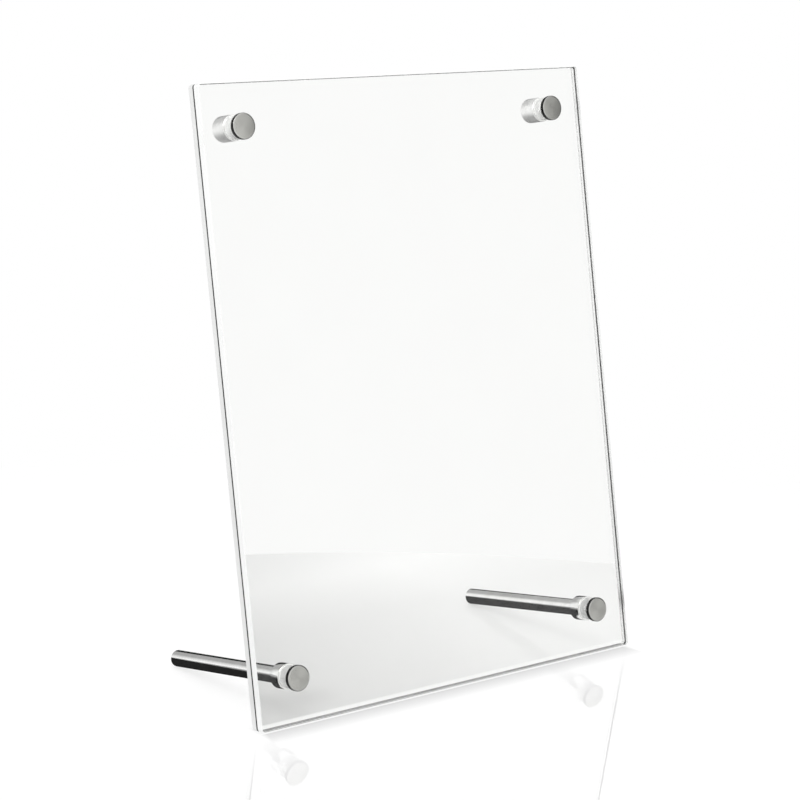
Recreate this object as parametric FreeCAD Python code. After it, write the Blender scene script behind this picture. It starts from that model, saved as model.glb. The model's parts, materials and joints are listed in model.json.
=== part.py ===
import FreeCAD, Part
import math
import os

# A desk frame for one 7 inch print (127 x 178 mm), all sizes in millimetres.
# Two equal clear acrylic sheets stand face to face and lean back on two round legs.
# Four capped studs go through both sheets and hold them together near the corners.
# The row frame is +Z up and -Y to the front, so that left is -X as a viewer sees it.

# Sheets: the print plus a 20 mm margin on every side
PRINT_WIDTH = 127.0
PRINT_HEIGHT = 178.0
MARGIN = 20.0
SHEET_WIDTH = PRINT_WIDTH + 2 * MARGIN
SHEET_HEIGHT = PRINT_HEIGHT + 2 * MARGIN
SHEET_THICKNESS = 3.0
AIR_FILM = 0.1
CORNER_RADIUS = 1.2
EDGE_BEVEL = 0.25
HOLE_RADIUS = 1.75

# Stud places, measured from the sheet's own edges
SIDE_INSET = 15.5
TOP_INSET = 15.0
BOTTOM_INSET = 16.0

# Threaded studs and the clear washers between metal and acrylic
STUD_RADIUS = 1.5
STUD_BEVEL = 0.3
STUD_IN_CAP = 1.0
STUD_IN_NUT = 5.0
THREAD_CLEARANCE = 0.05
WASHER_RADIUS = 4.1
WASHER_HOLE_RADIUS = 1.58
WASHER_THICKNESS = 0.5

# Turned steel: caps in front, round nuts behind the top studs, legs behind the bottom ones
CAP_RADIUS = 4.5
CAP_THICKNESS = 1.5
CAP_BEVEL = 0.35
NUT_RADIUS = 4.5
NUT_LENGTH = 7.0
NUT_BEVEL = 0.3
TAPPED_DEPTH = 5.6
DRILL_POINT_ANGLE = 118.0
COLLAR_RADIUS = 4.5
COLLAR_LENGTH = 5.0
COLLAR_BEVEL = 0.3
SPIGOT_RADIUS = 2.5
SHOULDER_BEVEL = 0.2
LEG_RADIUS = 3.0
LEG_LENGTH = 70.0
LEG_END_BEVEL = 0.6

# Lengths nearer to each other than this count as equal
CLOSE = 1e-6

# Distances along the studs, forwards from the middle of the air film
SHEET_NEAR = AIR_FILM / 2
SHEET_FAR = SHEET_NEAR + SHEET_THICKNESS
METAL_FACE = SHEET_FAR + WASHER_THICKNESS

# The frame rests on the rear sheet's bottom edge and on the undersides of the leg ends.
# The line through those two, seen from the side, gives the angle that the sheets lean back.
REST_EDGE = -SHEET_FAR + EDGE_BEVEL
REST_LEG_END = -METAL_FACE - LEG_LENGTH + LEG_END_BEVEL
LEG_UNDERSIDE = BOTTOM_INSET - LEG_RADIUS
LEAN = math.degrees(math.atan(LEG_UNDERSIDE / (REST_EDGE - REST_LEG_END)))

STUD_X = SHEET_WIDTH / 2 - SIDE_INSET
TOP_Z = SHEET_HEIGHT - TOP_INSET
STUD_PLACES = {
    "top_left": (-STUD_X, TOP_Z),
    "top_right": (STUD_X, TOP_Z),
    "bottom_left": (-STUD_X, BOTTOM_INSET),
    "bottom_right": (STUD_X, BOTTOM_INSET),
}

FORWARDS = FreeCAD.Vector(0, -1, 0)
ACROSS = FreeCAD.Vector(1, 0, 0)


def along(distance, x=0.0, z=0.0):
    """The point at this distance in front of the air film, on the stud line at x and z."""
    return FreeCAD.Vector(x, -distance, z)


def edges_where(shape, test):
    """The edges whose every vertex passes the test."""
    return [edge for edge in shape.Edges if all(test(vertex.Point) for vertex in edge.Vertexes)]


def rim_edges(shape, distance, radius):
    """The round edges of this radius that lie square to the stud line at this distance."""
    found = []
    for edge in shape.Edges:
        curve = edge.Curve
        if not isinstance(curve, Part.Circle):
            continue
        if abs(curve.Radius - radius) < CLOSE and abs(curve.Center.y + distance) < CLOSE:
            found.append(edge)
    return found


def round_bar(radius, back, front):
    """A plain bar on the stud line, from its back distance to its front distance."""
    return Part.makeCylinder(radius, front - back, along(back), FORWARDS)


def tapped_hole(mouth, depth):
    """A blind hole bored backwards from its mouth, with the cone that a drill leaves."""
    radius = STUD_RADIUS + THREAD_CLEARANCE
    point = radius / math.tan(math.radians(DRILL_POINT_ANGLE / 2))
    bore = Part.makeCylinder(radius, depth, along(mouth), FORWARDS * -1)
    cone = Part.makeCone(radius, 0, point, along(mouth - depth), FORWARDS * -1)
    return bore.fuse(cone)


def sheet(back):
    """A clear sheet with small rounded corners, bevelled polished edges and four bored holes."""
    front = back + SHEET_THICKNESS
    corner = FreeCAD.Vector(-SHEET_WIDTH / 2, -front, 0)
    blank = Part.makeBox(SHEET_WIDTH, SHEET_THICKNESS, SHEET_HEIGHT, corner)
    corners = [edge for edge in blank.Edges if abs(edge.Length - SHEET_THICKNESS) < CLOSE]
    blank = blank.makeFillet(CORNER_RADIUS, corners)
    outline = edges_where(blank, lambda p: abs(p.y + front) < CLOSE)
    outline += edges_where(blank, lambda p: abs(p.y + back) < CLOSE)
    blank = blank.makeChamfer(EDGE_BEVEL, outline)
    for x, z in STUD_PLACES.values():
        hole = Part.makeCylinder(HOLE_RADIUS, SHEET_THICKNESS, along(back, x, z), FORWARDS)
        blank = blank.cut(hole)
    return blank


def cap():
    """A flat round cap with a bevelled face and a blind seat for the stud in its back."""
    front = METAL_FACE + CAP_THICKNESS
    body = round_bar(CAP_RADIUS, METAL_FACE, front)
    body = body.makeChamfer(CAP_BEVEL, rim_edges(body, front, CAP_RADIUS))
    return body.cut(round_bar(STUD_RADIUS, METAL_FACE, METAL_FACE + STUD_IN_CAP))


def stud():
    """A threaded stud, drawn at its outside diameter, with both ends bevelled."""
    back = -METAL_FACE - STUD_IN_NUT
    front = METAL_FACE + STUD_IN_CAP
    body = round_bar(STUD_RADIUS, back, front)
    ends = rim_edges(body, back, STUD_RADIUS) + rim_edges(body, front, STUD_RADIUS)
    return body.makeChamfer(STUD_BEVEL, ends)


def washer(back):
    """A thin clear washer that keeps the metal off the acrylic."""
    ring = round_bar(WASHER_RADIUS, back, back + WASHER_THICKNESS)
    return ring.cut(round_bar(WASHER_HOLE_RADIUS, back, back + WASHER_THICKNESS))


def barrel_nut():
    """A short round nut, closed at the back, that a top stud screws into."""
    back = -METAL_FACE - NUT_LENGTH
    body = round_bar(NUT_RADIUS, back, -METAL_FACE)
    rims = rim_edges(body, back, NUT_RADIUS) + rim_edges(body, -METAL_FACE, NUT_RADIUS)
    body = body.makeChamfer(NUT_BEVEL, rims)
    return body.cut(tapped_hole(-METAL_FACE, TAPPED_DEPTH))


def leg_rod():
    """A long round leg, tapped in front for its stud and turned down there to seat its collar."""
    back = -METAL_FACE - LEG_LENGTH
    shoulder = -METAL_FACE - COLLAR_LENGTH
    body = round_bar(LEG_RADIUS, back, shoulder)
    body = body.makeChamfer(LEG_END_BEVEL, rim_edges(body, back, LEG_RADIUS))
    body = body.makeChamfer(SHOULDER_BEVEL, rim_edges(body, shoulder, LEG_RADIUS))
    body = body.fuse(round_bar(SPIGOT_RADIUS, shoulder, -METAL_FACE))
    return body.cut(tapped_hole(-METAL_FACE, TAPPED_DEPTH))


def leg_collar():
    """The ring pressed on the front of a leg, which gives it a face as wide as the cap."""
    back = -METAL_FACE - COLLAR_LENGTH
    ring = round_bar(COLLAR_RADIUS, back, -METAL_FACE)
    rims = rim_edges(ring, back, COLLAR_RADIUS) + rim_edges(ring, -METAL_FACE, COLLAR_RADIUS)
    ring = ring.makeChamfer(COLLAR_BEVEL, rims)
    return ring.cut(round_bar(SPIGOT_RADIUS, back, -METAL_FACE))


def at_stud(shape, place):
    """A copy of a piece made on the line x = 0, z = 0, moved to one of the four studs."""
    x, z = STUD_PLACES[place]
    return shape.translated(FreeCAD.Vector(x, 0, z))


def build_upright():
    """All pieces with the sheets standing straight up, before the frame leans back."""
    pieces = {
        "front_sheet": sheet(SHEET_NEAR),
        "rear_sheet": sheet(-SHEET_FAR),
    }
    for place in STUD_PLACES:
        pieces["cap_" + place] = at_stud(cap(), place)
        pieces["stud_" + place] = at_stud(stud(), place)
        pieces["front_washer_" + place] = at_stud(washer(SHEET_FAR), place)
        pieces["rear_washer_" + place] = at_stud(washer(-METAL_FACE), place)
    for side in ("left", "right"):
        pieces["barrel_nut_" + side] = at_stud(barrel_nut(), "top_" + side)
        pieces["leg_rod_" + side] = at_stud(leg_rod(), "bottom_" + side)
        pieces["leg_collar_" + side] = at_stud(leg_collar(), "bottom_" + side)
    return pieces


def lean_and_stand(pieces):
    """Lean all pieces back, then put the middle of the footprint at the origin."""
    leaning = {}
    for name, shape in pieces.items():
        leaning[name] = shape.rotated(FreeCAD.Vector(0, 0, 0), ACROSS, -LEAN)
    box = Part.makeCompound(list(leaning.values())).optimalBoundingBox(False, False)
    shift = FreeCAD.Vector(-box.Center.x, -box.Center.y, -box.ZMin)
    print("lean angle", round(LEAN, 4), "degrees; shift", tuple(round(value, 4) for value in shift))
    print("size", round(box.XLength, 2), round(box.YLength, 2), round(box.ZLength, 2))
    return {name: shape.translated(shift) for name, shape in leaning.items()}


os.makedirs("parts", exist_ok=True)
for name, shape in lean_and_stand(build_upright()).items():
    if not shape.isValid() or len(shape.Solids) != 1:
        raise RuntimeError(name + " is not one valid solid")
    shape.Solids[0].exportStep("parts/" + name + ".step")
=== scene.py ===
import json
import math

import bpy
import numpy as np
from mathutils import Matrix, Vector
from mathutils.geometry import tessellate_polygon


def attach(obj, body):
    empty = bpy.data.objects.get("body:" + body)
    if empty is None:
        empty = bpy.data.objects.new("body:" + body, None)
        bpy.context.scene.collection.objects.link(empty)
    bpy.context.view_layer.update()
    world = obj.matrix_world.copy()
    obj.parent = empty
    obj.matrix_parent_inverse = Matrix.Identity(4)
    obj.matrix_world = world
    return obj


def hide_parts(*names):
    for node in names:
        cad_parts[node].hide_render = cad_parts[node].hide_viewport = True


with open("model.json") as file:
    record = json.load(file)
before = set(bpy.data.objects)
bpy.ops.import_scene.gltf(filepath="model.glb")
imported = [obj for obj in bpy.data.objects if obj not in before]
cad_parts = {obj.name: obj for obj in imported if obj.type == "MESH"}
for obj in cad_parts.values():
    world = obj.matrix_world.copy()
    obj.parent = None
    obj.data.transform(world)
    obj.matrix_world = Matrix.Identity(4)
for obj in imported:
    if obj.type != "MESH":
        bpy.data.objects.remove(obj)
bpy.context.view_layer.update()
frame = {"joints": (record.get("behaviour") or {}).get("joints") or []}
MM = 0.001


# The frame's own directions: the studs' line points out of the front of the leaning sheets,
# and the sheets run up along a line square to it. Each stud's place is its screw's pivot.
joints = {joint["name"]: joint for joint in frame["joints"]}
forward = np.array(joints["front_sheet_lift_off"]["axis"])
across = np.array([1.0, 0.0, 0.0])
up_sheet = np.cross(across, -forward)
stud_points = {}
for row in ("top", "bottom"):
    for side in ("left", "right"):
        place = row + "_" + side
        stud_points[place] = np.array(joints["cap_screw_" + place + "_turn"]["pos_m"])
bottom_inset = 16.0 * MM
between_bottom_studs = (stud_points["bottom_left"] + stud_points["bottom_right"]) / 2
sheet_foot = between_bottom_studs - up_sheet * bottom_inset


def on_sheet(u, v, w):
    """Points in the row frame: u across the sheet, v up it from its bottom edge, w forward."""
    u, v, w = np.broadcast_arrays(u, v, w)
    return sheet_foot + u[..., None] * across + v[..., None] * up_sheet + w[..., None] * forward


def make_piece(name, points, faces, slots=None, smooth=True):
    """A mesh object at the origin, from its points, faces and each face's material slot."""
    mesh = bpy.data.meshes.new(name)
    mesh.from_pydata(np.asarray(points).reshape(-1, 3).tolist(), [], faces)
    mesh.polygons.foreach_set("use_smooth", [smooth] * len(mesh.polygons))
    if slots is not None:
        mesh.polygons.foreach_set("material_index", slots)
    mesh.set_sharp_from_angle(angle=math.radians(22))
    mesh.update()
    piece = bpy.data.objects.new(name, mesh)
    bpy.context.scene.collection.objects.link(piece)
    return piece


def node_tools(tree):
    """Two functions for one node tree. The first adds a node and sets its inputs, in order or by
    name. The second sets one socket to a value, or wires it to another node's output."""

    def add(kind, *in_order, operation=None, **by_name):
        node = tree.nodes.new(kind)
        if operation:
            node.operation = operation
        for socket, value in zip(node.inputs, in_order):
            wire(socket, value)
        for socket, value in by_name.items():
            wire(node.inputs[socket.replace("_", " ")], value)
        return node

    def wire(socket, value):
        if isinstance(value, bpy.types.NodeSocket):
            tree.links.new(value, socket)
        else:
            socket.default_value = value

    return add, wire


def new_material(name):
    """A material with only its Principled shader, that shader, and the tools for its node tree."""
    material = bpy.data.materials.new(name)
    material.use_nodes = True
    add, wire = node_tools(material.node_tree)
    return material, material.node_tree.nodes["Principled BSDF"], add, wire


def between(add, value, low, high, at_low, at_high):
    """A value that runs from at_low to at_high as its input goes from low to high."""
    return add("ShaderNodeMapRange", value, low, high, at_low, at_high).outputs["Result"]


def joined(add, operation, first, second):
    """Two shares joined by this operation, and held between 0 and 1."""
    node = add("ShaderNodeMath", first, second, operation=operation)
    node.use_clamp = True
    return node.outputs["Value"]


def grey(level):
    """A grey colour, from 0 for black to 1 for white."""
    return (level, level, level, 1.0)


# Clear sheets: two equal plates of cast acrylic, sawn to size, bored for the four studs,
# with their sawn edges flame polished and their sharp corners just taken off.
sheet_width = 167.0 * MM
sheet_height = 218.0 * MM
sheet_thickness = 3.0 * MM
air_film = 0.1 * MM
sheet_corner = 1.2 * MM
outer_bevel_size = 0.25 * MM
inner_bevel_size = 0.34 * MM
hole_radius = 1.75 * MM
points_per_corner = 7
points_per_hole = 64
(face_slot, edge_slot, outer_slot, inner_slot,
 level_inner_slot, level_edge_slot, foot_slot) = range(7)


def sheet_outline(inset):
    """The rounded rectangle, as four quarter arcs joined by straight sides, drawn in by inset."""
    turn = np.linspace(0, math.pi / 2, points_per_corner)
    radius = sheet_corner - inset
    corners = []
    for quarter, (sx, sz) in enumerate(((1, 1), (-1, 1), (-1, -1), (1, -1))):
        cu = sx * (sheet_width / 2 - sheet_corner)
        cv = sheet_height / 2 + sz * (sheet_height / 2 - sheet_corner)
        angle = turn + quarter * math.pi / 2
        corners.append(np.stack([cu + radius * np.cos(angle), cv + radius * np.sin(angle)], 1))
    return np.concatenate(corners)


def hole_outline(place):
    """A stud hole's circle in the sheet's plane: the stud's place plus radius times (cos, sin)."""
    middle = stud_points[place] - sheet_foot
    centre = np.array([middle @ across, middle @ up_sheet])
    angle = np.linspace(0, 2 * math.pi, points_per_hole, endpoint=False)
    return centre + hole_radius * np.stack([np.cos(angle), np.sin(angle)], 1)


def band(first, second, count, flip=False):
    """Quads between two closed rings of count points that start at these two indices."""
    here = np.arange(count)
    after = np.roll(here, -1)
    quads = np.stack([first + here, first + after, second + after, second + here], 1)
    return quads[:, ::-1].tolist() if flip else quads.tolist()


def clear_sheet(name, back, inner_at_back):
    """One plate: flat faces with four holes in them, bevels, polished edges and bored walls.
    The bevels where it meets the other plate are inner ones. On the two level sides, at the top
    and the bottom, the edge and the inner bevel have slots of their own, and so has the outer
    bevel at the foot."""
    front = back + sheet_thickness
    bevels = [outer_bevel_size, inner_bevel_size]
    bevel_slots = [outer_slot, inner_slot]
    if inner_at_back:
        bevels.reverse()
        bevel_slots.reverse()
    rings, faces, slots = [], [], []
    flat_rings = {"back": [], "front": []}
    depths = (back, back + bevels[0], front - bevels[1], front)
    for depth, inset in zip(depths, (bevels[0], 0.0, 0.0, bevels[1])):
        outline = sheet_outline(inset)
        rings.append(on_sheet(outline[:, 0], outline[:, 1], np.full(len(outline), depth)))
    count = len(rings[0])
    top_side, bottom_side = points_per_corner - 1, 3 * points_per_corner - 1
    level_slots = {edge_slot: level_edge_slot, inner_slot: level_inner_slot}
    for step, slot in enumerate((bevel_slots[0], edge_slot, bevel_slots[1])):
        faces += band(step * count, (step + 1) * count, count)
        side_slots = [slot] * count
        side_slots[top_side] = side_slots[bottom_side] = level_slots.get(slot, slot)
        if slot == outer_slot:
            side_slots[bottom_side] = foot_slot
        slots += side_slots
    flat_rings["back"].append(np.arange(count))
    flat_rings["front"].append(np.arange(count) + 3 * count)
    start = 4 * count
    for place in stud_points:
        outline = hole_outline(place)
        around = len(outline)
        for depth in (back, front):
            rings.append(on_sheet(outline[:, 0], outline[:, 1], np.full(around, depth)))
        faces += band(start, start + around, around, flip=True)
        slots += [edge_slot] * around
        flat_rings["back"].append(np.arange(around) + start)
        flat_rings["front"].append(np.arange(around) + start + around)
        start += 2 * around
    points = np.concatenate(rings)
    plane = np.stack([(points - sheet_foot) @ across, (points - sheet_foot) @ up_sheet], 1)
    for face_side, index_rings in flat_rings.items():
        order = np.concatenate(index_rings)
        loops = [[Vector((*plane[index], 0.0)) for index in ring] for ring in index_rings]
        for triangle in tessellate_polygon(loops):
            corner = [int(order[index]) for index in triangle]
            a, b, c = (plane[index] for index in corner)
            area = (b[0] - a[0]) * (c[1] - a[1]) - (b[1] - a[1]) * (c[0] - a[0])
            if (area > 0) != (face_side == "front"):
                corner.reverse()
            faces.append(corner)
            slots.append(face_slot)
    return make_piece(name, points, faces, slots)


acrylic_ior = 1.49
mirror_share = 0.25
light_let_by = 0.98
scuff_roughness = 0.02


def acrylic(name, tint, roughness, wave=0.02 * MM, mottle=0.01, skin=1.0, core=1.0, painted_glow=0.0):
    """Cast acrylic: bends light, is very faintly wavy, and carries a few hairline scuffs.
    Its clearness can differ between the skin, met from the air, and the core, met from within.
    It mirrors a quarter of what it should, and its shadow is kept light, so that the steel behind
    stays dark. An edge can be given a painted light of its own, standing in for the light that the
    faces gather and pipe to it."""
    material, shader, add, wire = new_material(name)
    wire(shader.inputs["Transmission Weight"], skin)
    if skin != core:
        met_from_within = add("ShaderNodeNewGeometry").outputs["Backfacing"]
        clearness = between(add, met_from_within, 0.0, 1.0, skin, core)
        wire(shader.inputs["Transmission Weight"], clearness)
    wire(shader.inputs["IOR"], acrylic_ior)
    if painted_glow:
        wire(shader.inputs["Emission Color"], grey(1.0))
        wire(shader.inputs["Emission Strength"], painted_glow)
    wire(shader.inputs["Specular Tint"], grey(mirror_share))
    shadow_ray = add("ShaderNodeLightPath").outputs["Is Shadow Ray"]
    in_shadow_rays = 1.0 - light_let_by * min(skin, core)
    wire(shader.inputs["Alpha"], between(add, shadow_ray, 0.0, 1.0, 1.0, in_shadow_rays))
    where = add("ShaderNodeTexCoord").outputs["Object"]
    ripple = add("ShaderNodeTexNoise", Vector=where, Scale=35.0, Detail=2.0).outputs["Fac"]
    scuff = add("ShaderNodeTexNoise", Vector=where, Scale=900.0, Detail=4.0).outputs["Fac"]
    scuffed = between(add, scuff, 0.55, 0.8, roughness, roughness + scuff_roughness)
    wire(shader.inputs["Roughness"], scuffed)
    ramp = add("ShaderNodeValToRGB", ripple)
    ramp.color_ramp.elements[0].color = (*tint, 1.0)
    ramp.color_ramp.elements[1].color = (*(min(1.0, part + mottle) for part in tint), 1.0)
    wire(shader.inputs["Base Color"], ramp.outputs["Color"])
    bump = add("ShaderNodeBump", Height=ripple, Strength=1.0, Distance=wave)
    wire(shader.inputs["Normal"], bump.outputs["Normal"])
    return material


sheet_face = acrylic("acrylic_face", (0.974, 0.976, 0.971), 0.0, wave=0.01 * MM)
# The sawn edges and the bored walls are a nearly opaque light grey: painted light that stands in
# for the light the clear plate pipes to them. The rear plate's are painted a darker grey.
front_edge_painted_light = acrylic("acrylic_front_edge", (0.9, 0.905, 0.9), 0.3, mottle=0.08, skin=0.1)
rear_edge_painted_darker = acrylic("acrylic_rear_edge", (0.75, 0.755, 0.75), 0.3, mottle=0.1, skin=0.1)
# The outer bevels are a light grey: a painted light line round the rim.
outer_bevel_painted_light = acrylic("acrylic_outer_bevel", (0.76, 0.765, 0.76), 0.2,
                      mottle=0.14, skin=0.2, core=0.8)
# The inner bevels on the upright sides, where the plates meet, are near black: a painted shadow
# line along the seam.
seam_bevel_painted_shadow = acrylic("acrylic_inner_bevel", (0.02, 0.0205, 0.02), 0.4,
                      mottle=0.08, skin=0.05, core=0.05)
# On the level sides the same seam is a lighter grey: painted light and shade, lighter at the top
# and the bottom than on the upright sides.
level_seam_painted_lighter = acrylic("acrylic_level_bevel", (0.2, 0.202, 0.2), 0.4,
                      mottle=0.15, skin=0.2, core=0.3)
# The level edges at the top and the bottom shine with a painted light of their own.
level_edge_painted_glow = acrylic("acrylic_level_edge", (0.97, 0.975, 0.97), 0.3,
                     mottle=0.03, skin=0.1, core=0.1, painted_glow=0.16)
# The outer bevel at the foot is dark grey: a painted shadow line along the bottom.
foot_bevel_painted_shadow = acrylic("acrylic_foot_bevel", (0.15, 0.151, 0.15), 0.3,
                     mottle=0.08, skin=0.1, core=0.3)

sheets = {
    "rear_sheet": (-air_film / 2 - sheet_thickness, False, rear_edge_painted_darker, "rear_panel"),
    "front_sheet": (air_film / 2, True, front_edge_painted_light, "front_panel"),
}
for node, (back, inner_at_back, sheet_edge, body) in sheets.items():
    piece = clear_sheet("clear_" + node, back, inner_at_back)
    for material in (sheet_face, sheet_edge, outer_bevel_painted_light, seam_bevel_painted_shadow,
                     level_seam_painted_lighter, level_edge_painted_glow, foot_bevel_painted_shadow):
        piece.data.materials.append(material)
    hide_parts(node)
    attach(piece, body)


# Turned pieces: every metal piece and washer is a round bar turned about its stud's line.
# Its outline is a list of stretches, each a straight cut or a rounded corner, with a finish,
# which counts the piece's materials from 0.
around_count = 96
on_the_line = 1e-9


def turned(name, place, outline, materials):
    """A surface of revolution: outline rows (distance forward, radius, finish) swept about a stud.
    Each point keeps a 'lathe' attribute: the turn's cosine and sine, and millimetres of outline."""
    distance = np.array([row[0] for row in outline])
    radius = np.array([row[1] for row in outline])
    angle = np.linspace(0, 2 * math.pi, around_count, endpoint=False)
    spoke = np.cos(angle)[:, None] * across + np.sin(angle)[:, None] * up_sheet
    axis = stud_points[place]
    run = np.concatenate([[0], np.cumsum(np.hypot(np.diff(distance), np.diff(radius)))])
    points, lathe, first = [], [], []
    for d, r, s in zip(distance, radius, run):
        first.append(sum(len(ring) for ring in points))
        if r < on_the_line:
            points.append((axis + d * forward)[None])
            lathe.append(np.array([[0.0, 0.0, s / MM]]))
            continue
        points.append(axis + d * forward + r * spoke)
        lathe.append(np.stack([np.cos(angle), np.sin(angle), np.full(around_count, s / MM)], 1))
    faces, slots = [], []
    here = np.arange(around_count)
    after = np.roll(here, -1)
    for step in range(len(outline) - 1):
        a, b = first[step], first[step + 1]
        lone_a, lone_b = radius[step:step + 2] < on_the_line
        if lone_a and lone_b:
            continue
        if lone_a:
            strip = np.stack([np.full(around_count, a), b + here, b + after], 1)
        elif lone_b:
            strip = np.stack([a + after, a + here, np.full(around_count, b)], 1)
        else:
            strip = np.stack([a + after, a + here, b + here, b + after], 1)
        faces += strip.tolist()
        slots += [outline[step][2]] * around_count
    piece = make_piece(name, np.concatenate(points), faces, slots)
    mark = piece.data.attributes.new("lathe", "FLOAT_VECTOR", "POINT")
    mark.data.foreach_set("vector", np.concatenate(lathe).ravel())
    for material in materials:
        piece.data.materials.append(material)
    return piece


def corner(d0, r0, d1, r1, finish, bulge_forward, steps=6):
    """A quarter of an ellipse from (d0, r0) to (d1, r1), upright at the end that bulges."""
    t = np.linspace(0, math.pi / 2, steps + 1)
    if bulge_forward:
        d = d0 + (d1 - d0) * (1 - np.cos(t))
        r = r0 + (r1 - r0) * np.sin(t)
    else:
        d = d0 + (d1 - d0) * np.sin(t)
        r = r0 + (r1 - r0) * (1 - np.cos(t))
    return [(float(a), float(b), finish) for a, b in zip(d, r)]


def steel(name, colour, roughness, grain, depth, anisotropy=0.0, metallic=1.0):
    """Turned steel: fine rings along the cut, small changes of tone, and softly worn patches.
    Where it is anisotropic, its gleam is drawn out along the cut, round the turn."""
    material, shader, add, wire = new_material(name)
    wire(shader.inputs["Metallic"], metallic)
    turning = add("ShaderNodeAttribute")
    turning.attribute_name = "lathe"
    if anisotropy:
        wire(shader.inputs["Anisotropic"], anisotropy)
        spoke = add("ShaderNodeSeparateXYZ", turning.outputs["Vector"]).outputs
        sideways = add("ShaderNodeMath", spoke["Y"], -1.0, operation="MULTIPLY").outputs["Value"]
        level_part = add("ShaderNodeCombineXYZ", sideways).outputs["Vector"]
        upright_part = add("ShaderNodeVectorMath", tuple(up_sheet), Scale=spoke["X"],
                           operation="SCALE").outputs["Vector"]
        round_the_turn = add("ShaderNodeVectorMath", upright_part, level_part, operation="ADD")
        wire(shader.inputs["Tangent"], round_the_turn.outputs["Vector"])
    stretch = add("ShaderNodeMapping", Vector=turning.outputs["Vector"], Scale=(2.5, 2.5, grain))
    rings = add("ShaderNodeTexNoise", Vector=stretch.outputs["Vector"], Scale=1.0,
                Detail=5.0).outputs["Fac"]
    where = add("ShaderNodeTexCoord").outputs["Object"]
    patch = add("ShaderNodeTexNoise", Vector=where, Scale=140.0, Detail=3.0).outputs["Fac"]
    both = add("ShaderNodeMath", rings, patch, operation="ADD").outputs["Value"]
    wear = add("ShaderNodeMath", both, 0.5, operation="MULTIPLY").outputs["Value"]
    least, most = 0.3, 0.7
    ramp = add("ShaderNodeValToRGB", wear)
    ramp.color_ramp.elements[0].position = least
    ramp.color_ramp.elements[1].position = most
    ramp.color_ramp.elements[0].color = (*(part * 0.86 for part in colour), 1.0)
    ramp.color_ramp.elements[1].color = (*(min(1.0, part * 1.12) for part in colour), 1.0)
    wire(shader.inputs["Base Color"], ramp.outputs["Color"])
    worn = between(add, wear, least, most, roughness * 0.8, roughness * 1.25)
    wire(shader.inputs["Roughness"], worn)
    bump = add("ShaderNodeBump", Height=rings, Strength=1.0, Distance=depth)
    wire(shader.inputs["Normal"], bump.outputs["Normal"])
    return material


# Washers: thin punched rings of soft plastic, clear under the caps and milky under the nuts and
# legs, so that no metal bears on the bare acrylic.
washer_radius = 4.1 * MM
washer_bore = 1.58 * MM
washer_thickness = 0.5 * MM
washer_round = 0.1 * MM
sheet_face_at = air_film / 2 + sheet_thickness
metal_at = sheet_face_at + washer_thickness

clear_plastic = acrylic("clear_washer_plastic", (0.9, 0.9, 0.895), 0.15, mottle=0.03)
milky_plastic = acrylic("milky_washer_plastic", (0.98, 0.98, 0.975), 0.3,
                        mottle=0.02, skin=0.1, core=0.1)


def washer_outline(back):
    """A flat ring with a slightly rounded outer rim, from its bore out and back again."""
    front = back + washer_thickness
    rim = washer_radius - washer_round
    outline = [(front, washer_bore, 0)]
    outline += corner(front, rim, front - washer_round, washer_radius, 0, True)
    outline += corner(back + washer_round, washer_radius, back, rim, 0, False)
    outline += [(back, washer_bore, 0), (front, washer_bore, 0)]
    return outline


for place in stud_points:
    for name, back, plastic in (("front_washer_", sheet_face_at, clear_plastic),
                                ("rear_washer_", -metal_at, milky_plastic)):
        piece = turned("soft_" + name + place, place, washer_outline(back), [plastic])
        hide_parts(name + place)
        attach(piece, name + place)


# Studs: steel screws with a rolled metric thread, driven tight into the backs of the caps.
# They pass through both sheets and end inside the nut or leg behind.
stud_radius = 1.5 * MM
thread_pitch = 0.5 * MM
thread_depth = 0.27 * MM
stud_in_cap = 1.0 * MM
stud_in_nut = 5.0 * MM
stud_end_bevel = 0.3 * MM
thread_around = 48
rows_per_turn = 12
flank_slope = 1.35
crest_share = 0.15

stud_steel = steel("stud_steel", (0.62, 0.61, 0.59), 0.25, grain=20.0, depth=0.004 * MM)


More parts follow.
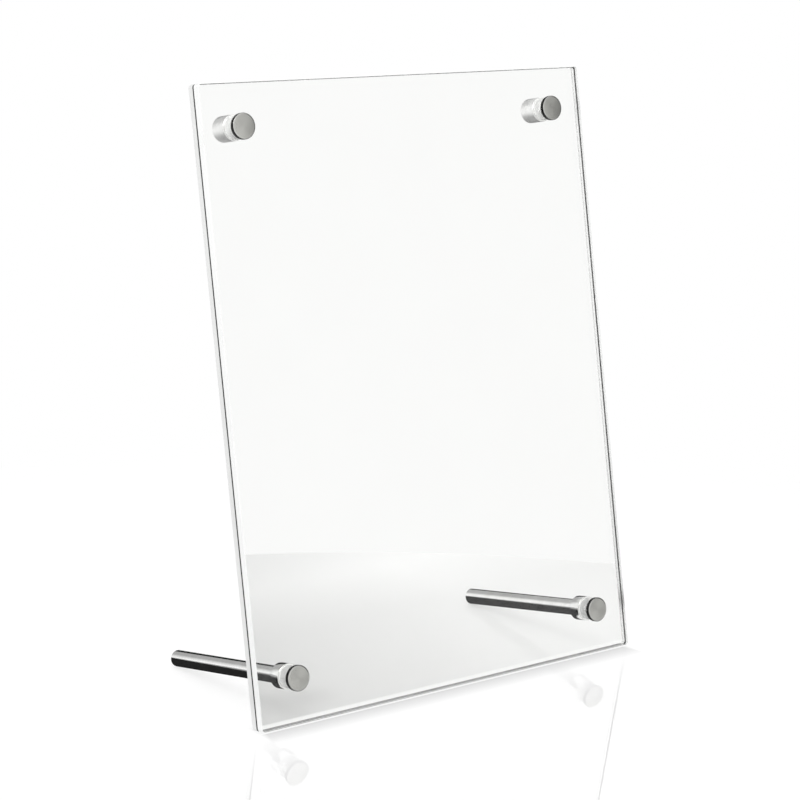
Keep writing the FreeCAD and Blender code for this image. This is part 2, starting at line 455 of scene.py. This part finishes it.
def threaded_stud(name, place):
    """A bar with a groove cut along a helix. Its phase is the share of a pitch, distance over
    pitch plus turn, and its depth is a saw of that phase, cut flat at the crest and the root."""
    back, front = -metal_at - stud_in_nut, metal_at + stud_in_cap
    rows = int(round((front - back) / thread_pitch * rows_per_turn))
    distance = np.linspace(back, front, rows + 1)[:, None]
    angle = np.linspace(0, 2 * math.pi, thread_around, endpoint=False)[None, :]
    phase = (distance / thread_pitch + angle / (2 * math.pi)) % 1.0
    groove = np.clip(flank_slope * (1 - np.abs(2 * phase - 1)) - crest_share, 0, 1)
    radius = stud_radius - thread_depth * groove
    end_gap = np.minimum(distance - back, front - distance)
    radius = np.minimum(radius, stud_radius - stud_end_bevel + end_gap)
    spoke = np.cos(angle)[..., None] * across + np.sin(angle)[..., None] * up_sheet
    body = stud_points[place] + distance[..., None] * forward + radius[..., None] * spoke
    ends = stud_points[place] + np.array([[back], [front]]) * forward
    points = np.concatenate([body.reshape(-1, 3), ends])
    faces = []
    for row in range(rows):
        faces += band(row * thread_around, (row + 1) * thread_around, thread_around)
    here = np.arange(thread_around)
    after = np.roll(here, -1)
    last = rows * thread_around
    tail, tip = len(points) - 2, len(points) - 1
    faces += np.stack([np.full(thread_around, tail), after, here], 1).tolist()
    faces += np.stack([np.full(thread_around, tip), last + here, last + after], 1).tolist()
    piece = make_piece(name, points, faces)
    mark = piece.data.attributes.new("lathe", "FLOAT_VECTOR", "POINT")
    run = np.broadcast_to(distance / MM, radius.shape)
    turn_x = np.broadcast_to(np.cos(angle), radius.shape)
    turn_y = np.broadcast_to(np.sin(angle), radius.shape)
    lathe = np.stack([turn_x, turn_y, run], -1).reshape(-1, 3)
    lathe = np.concatenate([lathe, [[0, 0, back / MM], [0, 0, front / MM]]])
    mark.data.foreach_set("vector", lathe.ravel())
    piece.data.materials.append(stud_steel)
    return piece


for place in stud_points:
    piece = threaded_stud("rolled_stud_" + place, place)
    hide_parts("stud_" + place)
    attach(piece, "cap_screw_" + place)


# Caps: round heads in front, turned from steel bar. The face is crowned by a tenth of a
# millimetre and spun to a soft grey grain, its rounded edge is brighter, the side blackened.
cap_radius = 4.5 * MM
cap_thickness = 1.5 * MM
cap_shoulder = 0.5 * MM
cap_shoulder_drop = 0.34 * MM
cap_crown = 0.11 * MM
crown_steps = 12
blackened_points = 4
face_finish, bevel_finish, side_finish = range(3)

cap_face_steel = steel("cap_face_steel", (0.64, 0.64, 0.605), 0.3, grain=26.0, depth=0.01 * MM,
                       anisotropy=0.5)
cap_bevel_steel = steel("cap_bevel_steel", (0.66, 0.66, 0.635), 0.16, grain=10.0,
                        depth=0.001 * MM)
cap_side_black = steel("cap_side_black", (0.02, 0.02, 0.02), 0.3, grain=12.0, depth=0.002 * MM)


def cap_outline():
    """From the middle of the face over the bevel and down the side to the stud's seat. The face
    falls away from its middle by the crown times the square of the share of its radius."""
    front = metal_at + cap_thickness
    face_radius = cap_radius - cap_shoulder
    outline = [(front, 0.0, face_finish)]
    for share in np.linspace(0.125, 0.99, crown_steps):
        outline.append((front - cap_crown * share ** 2, face_radius * float(share), face_finish))
    shoulder = corner(front - cap_crown, face_radius, front - cap_shoulder_drop, cap_radius,
                      bevel_finish, True)
    outline += shoulder[:-blackened_points]
    outline += [(distance, radius, side_finish)
                for distance, radius, finish in shoulder[-blackened_points:]]
    outline += [(metal_at, cap_radius, bevel_finish), (metal_at, stud_radius, side_finish)]
    outline += [(metal_at + stud_in_cap, stud_radius, side_finish)]
    outline += [(metal_at + stud_in_cap, 0.0, side_finish)]
    return outline


for place in stud_points:
    materials = [cap_face_steel, cap_bevel_steel, cap_side_black]
    piece = turned("spun_cap_" + place, place, cap_outline(), materials)
    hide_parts("cap_" + place)
    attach(piece, "cap_screw_" + place)


# Barrel nuts: the short round nuts behind the top studs, closed at the back and tapped from
# the front, as wide as the caps that face them.
nut_radius = 4.5 * MM
nut_length = 7.0 * MM
nut_bevel = 0.3 * MM
tapped_radius = 1.55 * MM
tapped_depth = 5.6 * MM
drill_half_angle = math.radians(59)
drill_point = tapped_radius / math.tan(drill_half_angle)
skin_finish, tapped_finish = range(2)

nut_steel = steel("nut_steel", (0.95, 0.95, 0.94), 0.28, grain=14.0, depth=0.003 * MM,
                  metallic=0.82)
tapped_steel = steel("tapped_steel", (0.5, 0.5, 0.48), 0.35, grain=16.0, depth=0.004 * MM)


def tapped_mouth():
    """The bore that a stud screws into, from its mouth down to the cone left by the drill."""
    return [(-metal_at, tapped_radius, tapped_finish),
            (-metal_at - tapped_depth, tapped_radius, tapped_finish),
            (-metal_at - tapped_depth - drill_point, 0.0, tapped_finish)]


def nut_outline():
    """From the middle of the closed back, round the side, to the tapped mouth in front."""
    back = -metal_at - nut_length
    rim = nut_radius - nut_bevel
    outline = [(back, 0.0, skin_finish)]
    outline += corner(back, rim, back + nut_bevel, nut_radius, skin_finish, True)
    outline += corner(-metal_at - nut_bevel, nut_radius, -metal_at, rim, skin_finish, False)
    return (outline + tapped_mouth())[::-1]


def with_finish_of_next(outline):
    """An outline turned end for end, with each stretch keeping its own finish."""
    finishes = [row[2] for row in outline]
    return [(row[0], row[1], finish) for row, finish in zip(outline, finishes[1:] + finishes[-1:])]


for side in ("left", "right"):
    outline = with_finish_of_next(nut_outline())
    piece = turned("round_nut_" + side, "top_" + side, outline, [nut_steel, tapped_steel])
    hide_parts("barrel_nut_" + side)
    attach(piece, "barrel_nut_" + side)


# Legs: plain round bars with a polished skin, tapped in front for the bottom studs. Their
# bevelled back ends rest on the table. Each is turned down in front, where a collar as wide
# as the cap is pressed on up to the shoulder.
leg_radius = 3.0 * MM
leg_length = 70.0 * MM
leg_end_bevel = 0.6 * MM
leg_rings = 10
spigot_radius = 2.5 * MM
shoulder_bevel = 0.2 * MM
collar_radius = 4.5 * MM
collar_length = 5.0 * MM
collar_bevel = 0.3 * MM

leg_steel = steel("leg_steel", (0.96, 0.96, 0.94), 0.1, grain=3.0, depth=0.002 * MM)
collar_steel = steel("collar_steel", (0.97, 0.97, 0.95), 0.06, grain=8.0, depth=0.0005 * MM)


def leg_outline():
    """From the middle of the back end, over its bevel and along the bar, down the shoulder and
    along the spigot to the tapped mouth."""
    back = -metal_at - leg_length
    shoulder = -metal_at - collar_length
    outline = [(back, 0.0, skin_finish), (back, leg_radius - leg_end_bevel, skin_finish)]
    for distance in np.linspace(back + leg_end_bevel, shoulder - shoulder_bevel, leg_rings):
        outline.append((float(distance), leg_radius, skin_finish))
    outline += [(shoulder, leg_radius - shoulder_bevel, skin_finish)]
    outline += [(shoulder, spigot_radius, skin_finish), (-metal_at, spigot_radius, skin_finish)]
    return (outline + tapped_mouth())[::-1]


def collar_outline():
    """A short sleeve with both outer corners broken, bored to the diameter of the leg's spigot."""
    back = -metal_at - collar_length
    rim = collar_radius - collar_bevel
    outline = [(back, spigot_radius, 0)]
    outline += corner(back, rim, back + collar_bevel, collar_radius, 0, True)
    outline += corner(-metal_at - collar_bevel, collar_radius, -metal_at, rim, 0, False)
    outline += [(-metal_at, spigot_radius, 0), (back, spigot_radius, 0)]
    return outline[::-1]


for side in ("left", "right"):
    outline = with_finish_of_next(leg_outline())
    piece = turned("polished_leg_" + side, "bottom_" + side, outline, [leg_steel, tapped_steel])
    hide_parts("leg_rod_" + side)
    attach(piece, "leg_" + side)
    collar = turned("pressed_collar_" + side, "bottom_" + side, collar_outline(), [collar_steel])
    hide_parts("leg_collar_" + side)
    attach(collar, "leg_" + side)


# Table: a smooth round top whose far rim is a hand behind the frame. Straight on it is white, with
# painted shade at the sheets' foot, a thin light line and a grey band, and a faint mirror image
# further out. Through the sheets it is pale grey with painted bands of light and shade, and
# polished steel close to it mirrors a painted dark reflection in place of the table.
table_half = 4.0
table_drop = 0.02 * MM
table_rim_middle = (-0.1065, -0.1455, 0.0)
table_rim_radius = 0.324
rim_softness = 0.002
corners = [(-1, -1), (1, -1), (1, 1), (-1, 1)]
table_points = [(x * table_half, y * table_half, -table_drop) for x, y in corners]
table = make_piece("table", table_points, [(0, 1, 2, 3)], smooth=False)
table_top, shader, add, wire = new_material("table_top")


def blend(add, share, first, second):
    """The first surface, with this share of the second laid over it."""
    return add("ShaderNodeMixShader", share, first, second).outputs["Shader"]


def self_lit(colour, strength):
    """A surface on the table with a light of its own, whatever light falls on it."""
    return add("ShaderNodeEmission", colour, strength).outputs["Emission"]


def grey_ramp(value, *stops):
    """A grey that runs through these stops, each a place along the value and its level there."""
    node = add("ShaderNodeValToRGB", value)
    elements = node.color_ramp.elements
    for element, (position, level) in zip(elements, (stops[0], stops[-1])):
        element.position = position
        element.color = grey(level)
    for position, level in stops[1:-1]:
        elements.new(position).color = grey(level)
    return node.outputs["Color"]


def mirrored_in_steel(add):
    """1 for a ray that steel mirrors. 0 for one that is straight, that a clear sheet bends, or
    that a perfectly smooth surface mirrors."""
    ray = add("ShaderNodeLightPath").outputs
    clear_or_sharp = joined(add, "MAXIMUM", ray["Is Transmission Ray"], ray["Is Singular Ray"])
    return joined(add, "SUBTRACT", ray["Is Glossy Ray"], clear_or_sharp)


place_on_table = add("ShaderNodeTexCoord").outputs["Object"]
table_axis = add("ShaderNodeSeparateXYZ", place_on_table).outputs
table_x, table_y = table_axis["X"], table_axis["Y"]
grain = add("ShaderNodeTexNoise", Vector=place_on_table, Scale=60.0).outputs["Fac"]
wire(shader.inputs["Base Color"], grey_ramp(grain, (0.0, 0.985), (1.0, 1.0)))
wire(shader.inputs["Roughness"], 0.6)
white = self_lit(grey(1.0), 1.0)
polish = add("ShaderNodeBsdfGlossy", Color=grey(1.0), Roughness=0.0).outputs["BSDF"]

# Straight on, painted shade runs along the sheets' foot, a light line and then a grey band, and
# ends at the sheets' sides. Here and below, a place on the table is in metres from the middle of
# the frame's footprint.
sideways = add("ShaderNodeMath", table_x, operation="ABSOLUTE").outputs["Value"]
beside_foot = between(add, sideways, 0.076, 0.084, 0.0, 1.0)
behind_foot = between(add, table_y, -0.036, -0.03, 0.0, 1.0)
painted_light_line = between(add, table_y, -0.038, -0.0388, 0.98, 0.0)
painted_shadow_band = between(add, table_y, -0.0385, -0.048, 0.62, 1.0)
painted_foot_shade = joined(add, "MAXIMUM", joined(add, "MAXIMUM", painted_shadow_band, painted_light_line), beside_foot)
table_with_painted_foot_shade = self_lit(grey(1.0), joined(add, "MAXIMUM", painted_foot_shade, behind_foot))
reach = add("ShaderNodeVectorMath", place_on_table, operation="LENGTH").outputs["Value"]
far_off = between(add, reach, 0.14, 0.34, 0.75, 1.0)
in_front = between(add, table_y, -0.04, -0.085, 0.0, 0.32)
straight_on = blend(add, far_off, shader.outputs["BSDF"], table_with_painted_foot_shade)
straight_on = blend(add, in_front, straight_on, polish)

# Through the sheets it is pale grey up to the far rim, partly self-lit, with faint painted bands of
# light and shade, painted darker to the left, and a painted shadow by the left leg. It is white
# past the rim, and in front of the frame as it is seen from behind.
from_rim_middle = add("ShaderNodeVectorMath", place_on_table, table_rim_middle,
                      operation="DISTANCE").outputs["Value"]
over_rim = between(add, from_rim_middle, table_rim_radius - rim_softness, table_rim_radius,
                   0.0, 1.0)
pale_grey = add("ShaderNodeBsdfDiffuse", Color=(0.74, 0.74, 0.735, 1.0)).outputs["BSDF"]
painted_light_and_shade_bands = grey_ramp(between(add, table_y, -0.04, 0.18, 0.0, 1.0),
                       (0.0, 0.93), (0.41, 0.88), (0.64, 1.0), (0.82, 0.89), (1.0, 0.87))
painted_pale_light = self_lit(painted_light_and_shade_bands, between(add, table_x, -0.09, 0.075, 0.6, 1.1))
# A painted shadow of the left leg: round a spot beside it, the pale top is laid over with a
# self-lit grey.
painted_leg_shadow_place = add("ShaderNodeMapping", Vector=place_on_table, Location=(3.06, 1.05, 0.0),
                  Scale=(60.0, 75.0, 1.0)).outputs["Vector"]
from_leg = add("ShaderNodeVectorMath", painted_leg_shadow_place, operation="LENGTH").outputs["Value"]
painted_leg_shadow = between(add, from_leg, 0.1, 1.0, 0.2, 0.0)
pale_top = blend(add, 0.65, pale_grey, painted_pale_light)
pale_top = blend(add, painted_leg_shadow, pale_top, self_lit(grey(0.3), 1.0))
front_light = between(add, table_y, -0.0288, -0.0304, 0.0, 0.85)
through_sheets = blend(add, over_rim, blend(add, 0.05, pale_top, polish), white)
through_sheets = blend(add, front_light, through_sheets, white)

# In polished steel it shows a painted dark reflection in place of the table: nearly black close by
# and then banded with grey, darker to the right, and light in front of the sheets' foot.
ray = add("ShaderNodeLightPath").outputs
painted_reflection_bands = grey_ramp(ray["Ray Length"], (0.05, 0.015), (0.09, 0.25), (0.15, 0.6), (0.27, 0.16),
                       (0.36, 0.5), (0.5, 0.85), (0.9, 1.0))
painted_reflection_back = self_lit(painted_reflection_bands, between(add, table_x, -0.05, 0.3, 1.0, 0.22))
painted_reflection_front = self_lit(grey(1.0), between(add, table_y, -0.05, -0.04, 0.62, 0.9))
behind = between(add, table_y, -0.02, -0.018, 0.0, 1.0)
painted_reflection_in_steel = blend(add, behind, painted_reflection_front, painted_reflection_back)

seen = blend(add, ray["Is Transmission Ray"], straight_on, through_sheets)
seen = blend(add, mirrored_in_steel(add), seen, painted_reflection_in_steel)
wire(table_top.node_tree.nodes["Material Output"].inputs["Surface"], seen)
table.data.materials.append(table_top)


# Light: an even white studio all round, and one broad lamp high in front on the left. Polished
# steel also mirrors painted reflections: low grey screens that darken the room only in the rays
# that steel mirrors, one behind, a darker one behind on the right, and one in front that darkens
# to the right.
world = bpy.data.worlds.new("studio")
bpy.context.scene.world = world
world.use_nodes = True
add_to_room, wire_room = node_tools(world.node_tree)
bright = world.node_tree.nodes["Background"]
wire_room(bright.inputs["Color"], grey(1.0))
wire_room(bright.inputs["Strength"], 1.0)
dark = add_to_room("ShaderNodeBackground", grey(0.0), 1.0)
towards = add_to_room("ShaderNodeTexCoord").outputs["Generated"]
direction = add_to_room("ShaderNodeSeparateXYZ", towards).outputs


def room_ramp(axis, low, high, at_low, at_high):
    """A value that runs from at_low to at_high as the way looked goes from low to high."""
    return between(add_to_room, direction[axis], low, high, at_low, at_high)


def room_share(operation, first, second):
    """Two shares of the room's light joined by this operation, and held between 0 and 1."""
    return joined(add_to_room, operation, first, second)


back_screen = room_share("MAXIMUM", room_ramp("X", -0.5, -0.2, 1.0, 0.42),
                         room_ramp("X", 0.38, 0.48, 0.0, 1.0))
low_right = room_share("MULTIPLY", room_ramp("X", 0.2, 0.3, 0.0, 1.0),
                       room_ramp("Z", 0.28, 0.31, 1.0, 0.0))
back_screen = room_share("SUBTRACT", back_screen, low_right)
front_screen = room_ramp("X", 0.42, 0.74, 0.95, 0.12)
to_the_back = room_ramp("Y", -0.05, 0.05, 0.0, 1.0)
to_the_front = room_share("SUBTRACT", 1.0, to_the_back)
screens = room_share("ADD", room_share("MULTIPLY", back_screen, to_the_back),
                     room_share("MULTIPLY", front_screen, to_the_front))
below_top = room_share("SUBTRACT", 1.0, room_ramp("Z", 0.5, 0.65, 0.0, 1.0))
dimness = room_share("MULTIPLY", room_share("SUBTRACT", 1.0, screens), below_top)
painted_reflection_dimness = room_share("MULTIPLY", dimness, mirrored_in_steel(add_to_room))
room_light = blend(add_to_room, painted_reflection_dimness, bright.outputs["Background"],
                   dark.outputs["Background"])
wire_room(world.node_tree.nodes["World Output"].inputs["Surface"], room_light)

lamp = bpy.data.lights.new("softbox", "AREA")
lamp.shape = "SQUARE"
lamp.size = 0.5
lamp.energy = 3.0
softbox = bpy.data.objects.new("softbox", lamp)
softbox.location = (-0.35, -0.55, 0.75)
softbox.rotation_euler = Vector((0.35, 0.55, -0.65)).to_track_quat("-Z", "Y").to_euler()
bpy.context.scene.collection.objects.link(softbox)


# Camera: in front of the frame and to its left, a little above it, with a long lens.
view_azimuth = math.radians(-37.622)
view_elevation = math.radians(12.092)
view_roll = math.radians(0.959)
view_target = Vector((0.0, 0.0, 0.105))
view_distance = 0.85249
side_step = 0.00209
rise = -0.00113
back = Vector((math.sin(view_azimuth) * math.cos(view_elevation),
               -math.cos(view_azimuth) * math.cos(view_elevation), math.sin(view_elevation)))
level_right = Vector((math.cos(view_azimuth), math.sin(view_azimuth), 0.0))
level_up = back.cross(level_right)
right = level_right * math.cos(view_roll) + level_up * math.sin(view_roll)
up = level_up * math.cos(view_roll) - level_right * math.sin(view_roll)
camera = bpy.data.objects.new("camera", bpy.data.cameras.new("camera"))
camera.data.lens = 106.362
camera.data.sensor_width = 36.0
camera.data.shift_y = -0.0186
turn = Matrix((right, up, back)).transposed().to_4x4()
spot = view_target + right * side_step + up * rise + back * view_distance
camera.matrix_world = Matrix.Translation(spot) @ turn
bpy.context.scene.collection.objects.link(camera)
bpy.context.scene.camera = camera
bpy.context.scene.view_settings.view_transform = "Standard"
